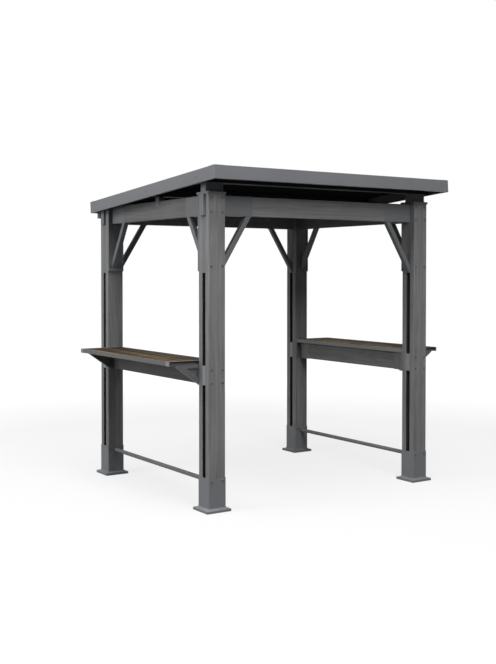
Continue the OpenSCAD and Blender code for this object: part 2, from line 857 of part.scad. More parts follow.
// A box purlin across the roof, with closed ends
module purlin(u) {
    reach = roof_w / 2 - fascia_t;
    half = purlin_w / 2;
    wall = [purlin_wall, purlin_wall, purlin_wall];
    color(steel_grey)
        on_roof()
            difference() {
                block([-reach, u - half, purlin_bottom], [reach, u + half, sheet_bottom]);
                block([-reach, u - half, purlin_bottom] + wall, [reach, u + half, sheet_bottom] - wall);
                fascia_screw_holes();
                mirror([1, 0, 0])
                    fascia_screw_holes();
                at_sheet_screws(u)
                    translate([0, 0, -purlin_wall - over])
                        cylinder(h = purlin_wall + 2 * over, d = screw_hole_d);
            }
}

// A domed head of a given width and height, standing on z = 0
module dome(d, h) {
    ball = (d * d / 4 + h * h) / (2 * h);
    intersection() {
        translate([0, 0, h - ball])
            sphere(r = ball);
        cylinder(h = h, d = d);
    }
}

// The children at each bolt of each leg, with z = 0 on the bolt's line
module at_bolts() {
    at_each_leg()
        for (row = bolt_rows, x = [-bolt_x, bolt_x])
            translate([x, 0, row[0]]) {
                $head_y = -half_d - row[1];
                $nut_y = half_d + row[2];
                children();
            }
}

// The carriage bolts, with their domed heads outside
module through_bolts() {
    color(steel_grey)
        at_bolts() {
            rod_y(0, 0, $head_y, $nut_y + bolt_end, bolt_d);
            translate([0, $head_y, 0])
                rotate([90, 0, 0])
                    dome(bolt_head_d, bolt_head_h);
        }
}

module bolt_nuts() {
    color(steel_grey)
        at_bolts()
            difference() {
                translate([0, $nut_y + nut_h, 0])
                    rotate([90, 0, 0])
                        cylinder(h = nut_h, d = 2 * bolt_d, $fn = 6);
                rod_y(0, 0, $nut_y - over, $nut_y + nut_h + over, bolt_d + 2 * nut_room);
            }
}

// A roof screw with its washer on z = 0
module roof_screw() {
    translate([0, 0, -screw_len])
        cylinder(h = screw_len, d = screw_d);
    cylinder(h = washer_t, d = screw_head_d + washer_w);
    translate([0, 0, washer_t])
        dome(screw_head_d, screw_head_d / 3);
}

module roof_screws() {
    color(steel_grey)
        on_roof() {
            for (u = purlin_places)
                at_sheet_screws(u)
                    translate([0, 0, sheet_t])
                        roof_screw();
            for (u = [front_purlin_u, middle_purlin_u], side = [-1, 1])
                translate([side * roof_w / 2, u, -fascia_h / 2])
                    rotate([0, side * 90, 0])
                        roof_screw();
        }
}

upright(-1, -1, -half_d);  // front_left_outer_upright
upright(-1, -1, half_slot);  // front_left_inner_upright
upright(1, -1, -half_d);  // front_right_outer_upright
upright(1, -1, half_slot);  // front_right_inner_upright
upright(-1, 1, -half_d);  // back_left_outer_upright
upright(-1, 1, half_slot);  // back_left_inner_upright
upright(1, 1, -half_d);  // back_right_outer_upright
upright(1, 1, half_slot);  // back_right_inner_upright
shoe(-1, -1);  // front_left_shoe
shoe(1, -1);  // front_right_shoe
shoe(-1, 1);  // back_left_shoe
shoe(1, 1);  // back_right_shoe
base_cover(-1, -1);  // front_left_base_cover
base_cover(1, -1);  // front_right_base_cover
base_cover(-1, 1);  // back_left_base_cover
base_cover(1, 1);  // back_right_base_cover
color(steel_grey) at_each_leg() post_cap();  // post_caps
color(steel_grey) at_each_leg() top_spacer();  // top_spacers
color(steel_grey) at_each_leg() mid_spacer();  // mid_spacers
riser(-1);  // front_left_riser
riser(1);  // front_right_riser
rear_roof_brackets();
long_beam(-1);  // front_beam
long_beam(1);  // back_beam
side_beam(-1);  // left_beam
side_beam(1);  // right_beam
color(steel_grey) at_each_leg() { sleeve_x(); sleeve_y(); }  // beam_sleeves
color(steel_grey) at_each_leg() beam_end_cap();  // beam_end_caps
color(steel_grey) for (side = [-1, 1]) at_leg(side, -1) brace_x();  // front_knee_braces
color(steel_grey) for (side = [-1, 1]) at_leg(side, 1) brace_x();  // back_knee_braces
color(steel_grey) for (end = [-1, 1]) at_leg(-1, end) brace_y();  // left_knee_braces
color(steel_grey) for (end = [-1, 1]) at_leg(1, end) brace_y();  // right_knee_braces
color(steel_grey) at_each_leg() leg_bracket();  // leg_brackets
bar_planks(-1);  // left_bar_planks
bar_planks(1);  // right_bar_planks
bar_edge(-1);  // left_bar_edge
bar_edge(1);  // right_bar_edge
color(steel_grey) at_each_leg() corner_cap();  // bar_corner_caps
apron(-1);  // left_apron
apron(1);  // right_apron
color(steel_grey) for (end = [-1, 1]) at_leg(-1, end) bar_bracket();  // left_bar_brackets
color(steel_grey) for (end = [-1, 1]) at_leg(1, end) bar_bracket();  // right_bar_brackets
color(steel_grey) at_each_leg() apron_hanger();  // apron_hangers
foot_rail(-1);  // left_foot_rail
foot_rail(1);  // right_foot_rail
cross_fascia(0, 1);  // front_fascia
cross_fascia(roof_len, -1);  // back_fascia
side_fascia(-1);  // left_fascia
side_fascia(1);  // right_fascia
fascia_corner_covers();
roof_sheet(0);  // left_roof_sheet
roof_sheet(1);  // middle_roof_sheet
roof_sheet(2);  // right_roof_sheet
purlin(front_purlin_u);  // front_purlin
purlin(middle_purlin_u);  // middle_purlin
purlin(rear_purlin_u);  // rear_purlin
mid_struts();
through_bolts();
bolt_nuts();
roof_screws();
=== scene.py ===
# Grill gazebo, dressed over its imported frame. Lengths are in metres, in the frame's own axes.
import json
import math

import bmesh
import bpy
from mathutils import Matrix, Vector


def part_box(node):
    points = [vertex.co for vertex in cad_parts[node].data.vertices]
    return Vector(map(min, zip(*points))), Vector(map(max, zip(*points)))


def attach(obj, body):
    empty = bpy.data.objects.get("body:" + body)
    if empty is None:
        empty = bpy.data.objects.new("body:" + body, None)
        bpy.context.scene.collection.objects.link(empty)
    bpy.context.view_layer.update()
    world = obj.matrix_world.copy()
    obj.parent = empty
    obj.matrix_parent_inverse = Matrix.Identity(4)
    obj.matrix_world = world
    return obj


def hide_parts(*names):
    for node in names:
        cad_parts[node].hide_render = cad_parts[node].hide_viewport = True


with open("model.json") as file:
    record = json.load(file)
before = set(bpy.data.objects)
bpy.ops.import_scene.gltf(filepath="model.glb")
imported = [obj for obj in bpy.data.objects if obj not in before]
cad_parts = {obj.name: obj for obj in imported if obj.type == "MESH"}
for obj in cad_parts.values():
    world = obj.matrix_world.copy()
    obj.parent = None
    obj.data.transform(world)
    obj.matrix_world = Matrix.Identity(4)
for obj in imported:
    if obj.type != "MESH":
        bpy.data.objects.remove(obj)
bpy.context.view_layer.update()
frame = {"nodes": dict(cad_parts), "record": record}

nodes = frame["nodes"]

# Camera, fitted to the photograph's 496 by 664 frame
photoCamera = {
    "place": (-4.7102, -6.8639, 1.6968),
    "turnDegrees": (88.736, 0.0, -33.463),
    "lens": 54.84,
    "shiftX": 0.0019,
    "shiftY": -0.0572,
}


def placeCamera(values):
    data = bpy.data.cameras.new("photoCamera")
    data.lens = values["lens"]
    data.shift_x = values["shiftX"]
    data.shift_y = values["shiftY"]
    camera = bpy.data.objects.new("photoCamera", data)
    camera.location = values["place"]
    camera.rotation_euler = [math.radians(a) for a in values["turnDegrees"]]
    bpy.context.scene.collection.objects.link(camera)
    bpy.context.scene.camera = camera


placeCamera(photoCamera)
print("camera placed")


# A shader node whose inputs are given as values or as other nodes' sockets
def addNode(tree, kind, inputs=None, **settings):
    node = tree.nodes.new("ShaderNode" + kind)
    for name, value in settings.items():
        setattr(node, name, value)
    for name, value in (inputs or {}).items():
        if isinstance(value, bpy.types.NodeSocket):
            tree.links.new(value, node.inputs[name])
        else:
            node.inputs[name].default_value = value
    return node


def newMaterial(name):
    material = bpy.data.materials.new(name)
    material.use_nodes = True
    tree = material.node_tree
    tree.nodes.clear()
    output = addNode(tree, "OutputMaterial")
    return material, tree, output


# Noise on the piece's own coordinates, stretched by a scale for each axis and moved by a shift
def stretchedNoise(tree, scale, detail=4.0, roughness=0.55, distortion=0.0, shift=None):
    place = addNode(tree, "TexCoord").outputs["Object"]
    if shift is not None:
        place = addNode(tree, "VectorMath", {0: place, 1: shift}, operation="ADD").outputs["Vector"]
    mapping = addNode(tree, "Mapping", {"Vector": place, "Scale": scale})
    noise = addNode(tree, "TexNoise", {
        "Vector": mapping.outputs["Vector"], "Scale": 1.0, "Detail": detail,
        "Roughness": roughness, "Distortion": distortion,
    })
    return noise.outputs["Fac"]


# Maps a factor from one range to another
def rangeOf(tree, value, low, high, toLow, toHigh):
    node = addNode(tree, "MapRange", {
        "Value": value, "From Min": low, "From Max": high, "To Min": toLow, "To Max": toHigh,
    })
    return node.outputs["Result"]


# Nearly all the values of a noise lie between these
noiseMiddle = (0.3, 0.7)


def spread(tree, noise, toLow, toHigh):
    return rangeOf(tree, noise, *noiseMiddle, toLow, toHigh)


def multiplied(tree, a, b):
    return addNode(tree, "Math", {0: a, 1: b}, operation="MULTIPLY").outputs[0]


def added(tree, a, b):
    return addNode(tree, "Math", {0: a, 1: b}, operation="ADD").outputs[0]


# A colour, given as a value or a socket, made darker or lighter by a factor round one
def tinted(tree, colour, factor):
    grey = addNode(tree, "CombineColor", {"Red": factor, "Green": factor, "Blue": factor})
    mix = addNode(tree, "Mix", {"Factor": 1.0, "A": colour, "B": grey.outputs["Color"]},
                  data_type="RGBA", blend_type="MULTIPLY")
    return mix.outputs["Result"]


# The shader that every finish here ends in
def coatSurface(tree, output, colour, roughness, specular, bump):
    shader = addNode(tree, "BsdfPrincipled", {
        "Base Color": colour, "Roughness": roughness, "Specular IOR Level": specular,
        "Normal": bump.outputs["Normal"],
    })
    tree.links.new(shader.outputs["BSDF"], output.inputs["Surface"])


# Opaque grey stain over planed timber, with its grain along one axis
timberFinish = {
    "colour": (0.190, 0.190, 0.191),
    "fibres": (260.0, 5.0),     # features per metre across and along the grain
    "streaks": (46.0, 1.2),
    "figure": (6.5, 0.55),
    "rings": 85.0,
    "blotches": 4.5,
    # the shade is the blotches' factor with the others added to it, each between a low and a high value
    "blotchShade": (0.95, 1.05),
    "fibreShade": (-0.10, 0.08),
    "streakShade": (-0.15, 0.13),
    "ringShade": (-0.06, 0.05),
    "roughness": (0.55, 0.75),
    "specular": 0.12,
    "bump": 0.35,
    "relief": 0.0012,
    "streakHeight": 0.6,        # beside the fibres' height
    "ringHeight": 0.1,
}


def grainScale(across, along, axis):
    return tuple(along if i == axis else across for i in range(3))


# The growth rings that a planed face shows: lines of equal height in a stretched noise
def ringLines(tree, scale, rings, shift=None):
    swell = stretchedNoise(tree, scale, 2.0, 0.4, 0.25, shift)
    turns = addNode(tree, "Math", {0: multiplied(tree, swell, rings)}, operation="SINE")
    return turns.outputs[0]


def stainedTimber(name, axis, values):
    material, tree, output = newMaterial(name)
    fibre = stretchedNoise(tree, grainScale(*values["fibres"], axis), 5.0, 0.6)
    streak = stretchedNoise(tree, grainScale(*values["streaks"], axis), 3.0, 0.5, 0.6)
    ring = ringLines(tree, grainScale(*values["figure"], axis), values["rings"])
    blotch = stretchedNoise(tree, (values["blotches"],) * 3, 3.0, 0.5)
    shade = added(tree, spread(tree, fibre, *values["fibreShade"]),
                  spread(tree, streak, *values["streakShade"]))
    shade = added(tree, shade, rangeOf(tree, ring, -1.0, 1.0, *values["ringShade"]))
    shade = added(tree, shade, spread(tree, blotch, *values["blotchShade"]))
    height = added(tree, multiplied(tree, streak, values["streakHeight"]),
                   multiplied(tree, ring, values["ringHeight"]))
    bump = addNode(tree, "Bump", {
        "Strength": values["bump"], "Distance": values["relief"], "Height": added(tree, fibre, height),
    })
    coatSurface(tree, output, tinted(tree, (*values["colour"], 1.0), shade),
                spread(tree, streak, *values["roughness"]), values["specular"], bump)
    return material


# Powder coat on steel: nearly even, with a fine orange peel
powderFinish = {
    "clouds": 3.0, "cloudShade": (0.96, 1.04), "cloudRoughness": (-0.04, 0.06),
    "speckles": 420.0, "speckleShade": (-0.02, 0.02), "bump": 0.06, "relief": 0.0006,
}


def powderCoat(name, colour, roughness, specular, values=powderFinish):
    material, tree, output = newMaterial(name)
    cloud = stretchedNoise(tree, (values["clouds"],) * 3, 3.0, 0.5)
    speckle = stretchedNoise(tree, (values["speckles"],) * 3, 2.0, 0.5)
    shade = added(tree, spread(tree, cloud, *values["cloudShade"]),
                  spread(tree, speckle, *values["speckleShade"]))
    bump = addNode(tree, "Bump", {
        "Strength": values["bump"], "Distance": values["relief"], "Height": speckle,
    })
    smoother, rougher = values["cloudRoughness"]
    coatSurface(tree, output, tinted(tree, (*colour, 1.0), shade),
                spread(tree, cloud, roughness + smoother, roughness + rougher), specular, bump)
    return material


# Brown stain on the bar planks, streaked from dark to golden; each plank has its own grain and a factor that
# brightens or darkens it, partly at random and partly as painted light
plankFinish = {
    "tones": (
        (0.36, (0.008, 0.0055, 0.003)),
        (0.46, (0.022, 0.015, 0.008)),
        (0.54, (0.058, 0.039, 0.021)),
        (0.64, (0.170, 0.112, 0.058)),
    ),
    "streaks": (30.0, 0.5), "fibres": (340.0, 6.0), "figure": (8.0, 0.5), "rings": 70.0,
    "fibreShade": (-0.05, 0.05), "ringShade": 0.045,
    "shift": (3.7, 1.9),        # from one plank to the next, across and along the grain
    "roughness": (0.65, 0.80), "specular": 0.07, "bump": 0.3, "relief": 0.001,
}


def plankStain(name, values):
    material, tree, output = newMaterial(name)
    number = addNode(tree, "Attribute", attribute_name="plankNumber").outputs["Fac"]
    toneAndLight = addNode(tree, "Attribute", attribute_name="plankTone").outputs["Fac"]
    across, along = [multiplied(tree, number, step) for step in values["shift"]]
    shift = addNode(tree, "CombineXYZ", {"X": across, "Y": along}).outputs["Vector"]
    streak = stretchedNoise(tree, grainScale(*values["streaks"], 1), 4.0, 0.6, 0.5, shift)
    fibre = stretchedNoise(tree, grainScale(*values["fibres"], 1), 4.0, 0.6, 0.0, shift)
    ring = ringLines(tree, grainScale(*values["figure"], 1), values["rings"], shift)
    figure = added(tree, multiplied(tree, ring, values["ringShade"]),
                   spread(tree, fibre, *values["fibreShade"]))
    ramp = addNode(tree, "ValToRGB", {"Fac": added(tree, streak, figure)})
    stops = ramp.color_ramp.elements
    for index, (place, colour) in enumerate(values["tones"]):
        stop = stops[index] if index < 2 else stops.new(place)     # a fresh ramp has two stops
        stop.position = place
        stop.color = (*colour, 1.0)
    bump = addNode(tree, "Bump", {
        "Strength": values["bump"], "Distance": values["relief"], "Height": added(tree, fibre, streak),
    })
    coatSurface(tree, output, tinted(tree, ramp.outputs["Color"], toneAndLight),
                spread(tree, streak, *values["roughness"]), values["specular"], bump)
    return material


timberX = stainedTimber("stainedTimberAcross", 0, timberFinish)
# a darker copy of the stain for the side beams and aprons: painted shade from the roof's overhang and the
# bars above them
shadedTimberY = stainedTimber("stainedTimberDeep", 1, {**timberFinish, "colour": (0.152, 0.152, 0.153)})
timberZ = stainedTimber("stainedTimberUpright", 2, timberFinish)
# a nearly black copy of the stain for the faces inside the leg slots: painted shade
slotTimber = stainedTimber("slotTimber", 2, {**timberFinish, "colour": (0.040, 0.040, 0.041)})
# Colour, roughness and specular level of each coat
steelCoat = powderCoat("greyPowderCoat", (0.148, 0.153, 0.161), 0.48, 0.15)
# a lighter copy of the steel coat for the shoes and base covers: painted light
litFootCoat = powderCoat("shoePowderCoat", (0.175, 0.181, 0.190), 0.48, 0.15)
# nearly black purlins under the roof: painted shade
purlinCoat = powderCoat("purlinCoat", (0.024, 0.0245, 0.026), 0.55, 0.02)
# a dark roof sheet, made darker still as painted shade for its underside
darkAndShadedSheetCoat = powderCoat("roofSheetCoat", (0.018, 0.0185, 0.020), 0.6, 0.0)
boltCoat = powderCoat("boltCoat", (0.078, 0.080, 0.083), 0.4, 0.5)
edgeCoat = powderCoat("barEdgeCoat", (0.132, 0.131, 0.126), 0.5, 0.1)
# a lighter copy of the bar edge coat for the inner bands: painted light
litInnerEdgeCoat = powderCoat("innerBarEdgeCoat", (0.215, 0.212, 0.200), 0.5, 0.1)
# a darker copy of the steel coat for the bar brackets under the bars: painted shade
shadedBracketCoat = powderCoat("barBracketCoat", (0.115, 0.118, 0.124), 0.48, 0.2)
hangerCoat = powderCoat("apronHangerCoat", (0.150, 0.151, 0.153), 0.48, 0.2)
paleCoat = powderCoat("paleGreyCoat", (0.235, 0.240, 0.250), 0.48, 0.15)
plankCoat = plankStain("brownPlankStain", plankFinish)
print("finishes made")

finishOf = {
    "painted_steel": steelCoat, "purlin_steel": purlinCoat, "roof_sheet": darkAndShadedSheetCoat,
    "bar_planks": plankCoat, "fixings": boltCoat,
}
# Steel pieces in a coat of their own; the brackets' darker one is painted shade
coatOf = {
    "left_bar_edge": edgeCoat, "right_bar_edge": edgeCoat, "bar_corner_caps": paleCoat,
    "mid_spacers": paleCoat, "apron_hangers": hangerCoat,
    "left_bar_brackets": shadedBracketCoat, "right_bar_brackets": shadedBracketCoat,
}
slotOf = {part["node"]: part["material_slot"] for part in frame["record"]["subparts"]}


# The finish of a node: timber takes the one whose grain runs along it, with the side beams and aprons in a
# darker copy that is painted shade, and the feet have a lighter copy of the steel coat, which is painted
# light
def finishFor(node):
    if node.endswith(("shoe", "base_cover")):
        return litFootCoat
    if slotOf[node] != "painted_timber":
        return coatOf.get(node, finishOf[slotOf[node]])
    if node in ("front_beam", "back_beam"):
        return timberX
    return shadedTimberY if node.endswith(("beam", "apron")) else timberZ


for name in slotOf:
    nodes[name].data.materials.clear()
    nodes[name].data.materials.append(finishFor(name))


def bevelEdges(bm, edges, width, steps=2):
    bmesh.ops.bevel(bm, geom=edges, offset=width, offset_type="OFFSET", segments=steps, profile=0.5,
                    affect="EDGES", clamp_overlap=True, material=-1)


# A plain box between two corners
def cube(low, high):
    low, high = Vector(low), Vector(high)
    bm = bmesh.new()
    bmesh.ops.create_cube(bm, size=1.0)
    bmesh.ops.scale(bm, verts=bm.verts, vec=high - low)
    bmesh.ops.translate(bm, verts=bm.verts, vec=(low + high) / 2)
    return bm


# A board between two corners, with its edges eased
def board(low, high, ease=0.003, steps=3):
    bm = cube(low, high)
    bevelEdges(bm, bm.edges[:], ease, steps)
    return bm


# The skin of a sheet box, left open on the sides that are named, with rounded folds
def sheetBox(low, high, openSides, bend, steps=3):
    bm = cube(low, high)
    away = {"left": (-1, 0, 0), "right": (1, 0, 0), "front": (0, -1, 0), "back": (0, 1, 0),
            "under": (0, 0, -1), "top": (0, 0, 1)}
    gone = [f for f in bm.faces if any(f.normal.dot(Vector(away[side])) > 0.9 for side in openSides)]
    bmesh.ops.delete(bm, geom=gone, context="FACES")
    bevelEdges(bm, [e for e in bm.edges if len(e.link_faces) == 2], bend, steps)
    return bm


def vertsOf(geom):
    return [g for g in geom if isinstance(g, bmesh.types.BMVert)]


# The skin of a sheet folded along a line of corners and drawn out by a vector
def foldedSheet(corners, reach, bend, steps=2):
    bm = bmesh.new()
    line = [bm.verts.new(c) for c in corners]
    edges = [bm.edges.new(pair) for pair in zip(line, line[1:])]
    drawn = bmesh.ops.extrude_edge_only(bm, edges=edges)["geom"]
    bmesh.ops.translate(bm, verts=vertsOf(drawn), vec=reach)
    bevelEdges(bm, [e for e in bm.edges if len(e.link_faces) == 2], bend, steps)
    return bm


# Takes away what lies beyond a plane
def cutBeyond(bm, point, normal):
    geom = bm.verts[:] + bm.edges[:] + bm.faces[:]
    bmesh.ops.bisect_plane(bm, geom=geom, dist=1e-6, plane_co=point, plane_no=normal, clear_outer=True)
    return bm


# Gives a skin its wall, behind its faces
def walled(bm, wall):
    bmesh.ops.solidify(bm, geom=bm.verts[:] + bm.edges[:] + bm.faces[:], thickness=wall)
    return bm


# Puts a fresh shape where a matrix says; a mirrored one is turned right side out
def placed(bm, matrix):
    bmesh.ops.transform(bm, matrix=matrix, verts=bm.verts)
    if matrix.determinant() < 0:
        bmesh.ops.reverse_faces(bm, faces=bm.faces)
    return bm


def joined(parts):
    whole = bmesh.new()
    for part in parts:
        passing = bpy.data.meshes.new("passing")
        part.to_mesh(passing)
        part.free()
        whole.from_mesh(passing)
        bpy.data.meshes.remove(passing)
    return whole


# A node's own shape, merged, with its long sharp edges eased
def easedCopy(node, ease, shortest=0.012, leastAngle=0.5):
    bm = bmesh.new()
    bm.from_mesh(nodes[node].data)
    bmesh.ops.remove_doubles(bm, verts=bm.verts, dist=1e-5)
    bmesh.ops.dissolve_limit(bm, angle_limit=math.radians(1), verts=bm.verts, edges=bm.edges)
    sharp = [e for e in bm.edges
             if len(e.link_faces) == 2 and e.calc_length() > shortest and e.calc_face_angle() > leastAngle]
    bevelEdges(bm, sharp, ease, 2)
    return bm


# Makes the piece that stands for a node
def dress(node, bm, sharpDegrees=40.0):
    first, *others = node.split("_")
    name = first + "".join(word.capitalize() for word in others)
    mesh = bpy.data.meshes.new(name)
    bm.to_mesh(mesh)
    bm.free()
    mesh.shade_smooth()
    mesh.set_sharp_from_angle(angle=math.radians(sharpDegrees))
    mesh.materials.append(finishFor(node))
    piece = bpy.data.objects.new(name, mesh)
    bpy.context.scene.collection.objects.link(piece)
    even = piece.modifiers.new("evenShading", "WEIGHTED_NORMAL")
    even.keep_sharp = True
    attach(piece, "root")
    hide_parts(node)
    return piece


# Places: sides are -1 for left and 1 for right, ends are -1 for front and 1 for back
sides = {"left": -1, "right": 1}
ends = {"front": -1, "back": 1}


def middleOf(node):
    low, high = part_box(node)
    return (low + high) / 2


def levelsOf(node):
    low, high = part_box(node)
    return low.z, high.z


frontLeg, backLeg = middleOf("front_right_shoe"), middleOf("back_right_shoe")
legX, bayY = frontLeg.x, (frontLeg.y + backLeg.y) / 2
legY = {-1: frontLeg.y, 1: backLeg.y}
# Levels at which pieces meet
midBottom, midTop = levelsOf("mid_spacers")
slotTop, beamBottom = levelsOf("top_spacers")
beamTop = levelsOf("beam_sleeves")[1]
capBottom, capTop = levelsOf("post_caps")
barBottom, barTop = levelsOf("left_bar_planks")


# What is drawn for the front left leg, about its own centre line, put on any leg
def atLeg(bm, side, end):
    place = Matrix.Translation((side * legX, legY[end], 0)) @ Matrix.Diagonal((-side, -end, 1, 1))
    return placed(bm, place)


def atEachLeg(draw):
    return joined([atLeg(draw(), side, end) for end in (-1, 1) for side in (-1, 1)])


# What is drawn for the left side, about the middle of its bay, put on either side
def atSide(bm, side):
    return placed(bm, Matrix.Translation((side * legX, bayY, 0)) @ Matrix.Diagonal((-side, 1, 1, 1)))


# Legs: half sizes about a leg's centre line
legValues = {
    "halfWidth": 0.068, "halfDepth": 0.068, "halfSlot": 0.020,
    "ease": 0.0035, "spacerEase": 0.0015, "bracketEase": 0.0008,
}


# The faces inside a leg's slot take a nearly black copy of the timber stain: painted shade for the deep slot
def dressUprights(values):
    for end, sign in ends.items():
        for side in sides:
            for layer, away in (("outer", -sign), ("inner", sign)):
                node = f"{end}_{side}_{layer}_upright"
                bm = board(*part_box(node), values["ease"])
                for face in bm.faces:
                    face.material_index = 1 if face.normal.y * away > 0.9 else 0
                dress(node, bm).data.materials.append(slotTimber)


braceValues = {
    "width": 0.038, "depth": 0.040, "wall": 0.002, "corner": 0.005, "leanDegrees": 32.0, "spare": 0.08,
    # from the leg's centre line: the side braces' middle, the plate that they end at, and their lower
    # edge where they stand on that plate's lip
    "sideX": -0.012, "plateFace": 0.072, "sideToe": 0.076,
}
braceLean = math.radians(braceValues["leanDegrees"])
braceCut = braceValues["width"] / math.cos(braceLean)       # a brace's width where it is cut level


def midSpacer():
    v = legValues
    return board((-v["halfWidth"], -v["halfSlot"], midBottom), (v["halfWidth"], v["halfSlot"], midTop),
                 v["spacerEase"])


# The board under the beam, cut on the slope where the brace comes in
def topSpacer():
    v = legValues
    bm = board((-v["halfWidth"], -v["halfSlot"], slotTop), (v["halfWidth"], v["halfSlot"], beamBottom),
               v["spacerEase"])
    heel = (v["halfWidth"] - braceCut, 0, slotTop)
    cutBeyond(bm, heel, (math.cos(braceLean), 0, -math.sin(braceLean)))
    bmesh.ops.holes_fill(bm, edges=[e for e in bm.edges if e.is_boundary], sides=0)
    return bm


# A square tube with rounded corners, turned to its slope and cut level at its start and under the beam
def braceSkin(width, depth, start, turn):
    v = braceValues
    length = (beamBottom - start[2]) / math.cos(braceLean)
    bm = sheetBox((-width / 2, -depth / 2, -v["spare"]), (width / 2, depth / 2, length + v["spare"]),
                  ("under", "top"), v["corner"])
    placed(bm, Matrix.Translation(start) @ turn)
    cutBeyond(bm, (0, 0, beamBottom), (0, 0, 1))
    return cutBeyond(bm, start, (0, 0, -1))


def frontBrace():
    v = braceValues
    start = (legValues["halfWidth"] - braceCut / 2, 0, slotTop)
    return walled(braceSkin(v["width"], v["depth"], start, Matrix.Rotation(braceLean, 4, "Y")), v["wall"])


def sideBrace():
    v = braceValues
    start = (v["sideX"], v["sideToe"] - braceCut / 2, levelsOf("left_knee_braces")[0])
    bm = braceSkin(v["depth"], v["width"], start, Matrix.Rotation(-braceLean, 4, "X"))
    cutBeyond(bm, (0, v["plateFace"], 0), (0, -1, 0))
    return walled(bm, v["wall"])


def dressBraces():
    for name, end in ends.items():
        dress(name + "_knee_braces", joined([atLeg(frontBrace(), side, end) for side in (-1, 1)]))
    for name, side in sides.items():
        dress(name + "_knee_braces", joined([atLeg(sideBrace(), side, end) for end in (-1, 1)]))


dressUprights(legValues)
dress("mid_spacers", atEachLeg(midSpacer))
dress("top_spacers", atEachLeg(topSpacer))
dress("leg_brackets", easedCopy("leg_brackets", legValues["bracketEase"]))
dressBraces()
print("legs and braces made")

# Beams: the sleeves' reaches are from a leg's centre line
beamValues = {
    "ease": 0.003, "outerEnd": 0.085,
    "sleeveBend": 0.004, "sleeveWall": 0.002, "frontReach": 0.3327, "sideReach": 0.3097,
    "capWall": 0.003, "capSide": 0.008, "capBend": 0.003,
}


def beamSleeves():
    v, half, x = beamValues, legValues["halfSlot"], braceValues["sideX"]
    across = sheetBox((-v["outerEnd"], -half, beamBottom), (v["frontReach"], half, beamTop),
                      ("left", "right"), v["sleeveBend"])
    deep = sheetBox((x - half, braceValues["plateFace"], beamBottom), (x + half, v["sideReach"], beamTop),
                    ("front", "back"), v["sleeveBend"])
    return joined([walled(across, v["sleeveWall"]), walled(deep, v["sleeveWall"])])


def beamEndCap():
    v, half = beamValues, legValues["halfSlot"] + beamValues["capSide"]
    bm = sheetBox((-v["outerEnd"] - v["capWall"], -half, beamBottom - v["capWall"]),
                  (-legValues["halfWidth"], half, capBottom), ("right",), v["capBend"])
    return walled(bm, v["capWall"])


for name in ("front_beam", "back_beam", "left_beam", "right_beam"):
    dress(name, board(*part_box(name), beamValues["ease"]))
dress("beam_sleeves", atEachLeg(beamSleeves))
dress("beam_end_caps", atEachLeg(beamEndCap))
print("beams made")

# Shoes, base covers and post caps, about a leg's centre line
shoeValues = {
    "half": 0.0715, "wall": 0.003, "corner": 0.005, "cornerSteps": 4,
    "plateHalf": 0.094, "plateThick": 0.006, "anchorHalf": 0.0825, "anchorRadius": 0.0045, "anchorSteps": 20,
}
coverValues = {
    "corner": 0.0035, "cornerSteps": 5, "wall": 0.002,
    # half width and height of each line round the cover, from the ground to the shoe
    "lines": (
        (0.1, 0.0), (0.1, 0.0150), (0.0994, 0.0172), (0.0978, 0.0188), (0.0955, 0.0196), (0.0880, 0.0204),
        (0.0836, 0.0212), (0.0796, 0.0226), (0.0762, 0.0246), (0.0736, 0.0272), (0.072, 0.030),
    ),
}
capValues = {"room": 0.006, "bracket": 0.014, "wall": 0.004, "bend": 0.003}


# The outline of a level square
def squareOutline(half):
    bm = bmesh.new()
    bmesh.ops.create_grid(bm, x_segments=1, y_segments=1, size=half)
    bmesh.ops.delete(bm, geom=bm.faces[:], context="FACES_ONLY")
    return bm


def drilledPlate(values):
    bm = squareOutline(values["plateHalf"])
    for x in (-1, 1):
        for y in (-1, 1):
            spot = Matrix.Translation((x * values["anchorHalf"], y * values["anchorHalf"], 0))
            bmesh.ops.create_circle(bm, segments=values["anchorSteps"], radius=values["anchorRadius"],
                                    matrix=spot)
    bmesh.ops.triangle_fill(bm, use_beauty=True, use_dissolve=False, edges=bm.edges[:], normal=(0, 0, 1))
    lifted = bmesh.ops.extrude_face_region(bm, geom=bm.faces[:])["geom"]
    bmesh.ops.translate(bm, verts=vertsOf(lifted), vec=(0, 0, values["plateThick"]))
    bmesh.ops.recalc_face_normals(bm, faces=bm.faces)
    return bm


def shoe():
    v, top = shoeValues, levelsOf("front_left_shoe")[1]
    collar = sheetBox((-v["half"], -v["half"], v["plateThick"]), (v["half"], v["half"], top),
                      ("under", "top"), v["corner"], v["cornerSteps"])
    return joined([walled(collar, v["wall"]), drilledPlate(v)])


# A square with rounded corners, drawn up and in line by line
def baseCover():
    v = coverValues
    bm = squareOutline(v["lines"][0][0])
    bmesh.ops.bevel(bm, geom=bm.verts[:], offset=v["corner"], offset_type="OFFSET", segments=v["cornerSteps"],
                    profile=0.5, affect="VERTICES", material=-1)
    ring = bm.edges[:]
    for (half, height), (nextHalf, nextHeight) in zip(v["lines"], v["lines"][1:]):
        drawn = bmesh.ops.extrude_edge_only(bm, edges=ring)["geom"]
        verts = vertsOf(drawn)
        ring = [g for g in drawn if isinstance(g, bmesh.types.BMEdge)]
        bmesh.ops.scale(bm, verts=verts, vec=(nextHalf / half, nextHalf / half, 1))
        bmesh.ops.translate(bm, verts=verts, vec=(0, 0, nextHeight - height))
    bmesh.ops.recalc_face_normals(bm, faces=bm.faces)
    if max(bm.faces, key=lambda f: f.calc_center_median().x).normal.x < 0:
        bmesh.ops.reverse_faces(bm, faces=bm.faces)
    return walled(bm, v["wall"])


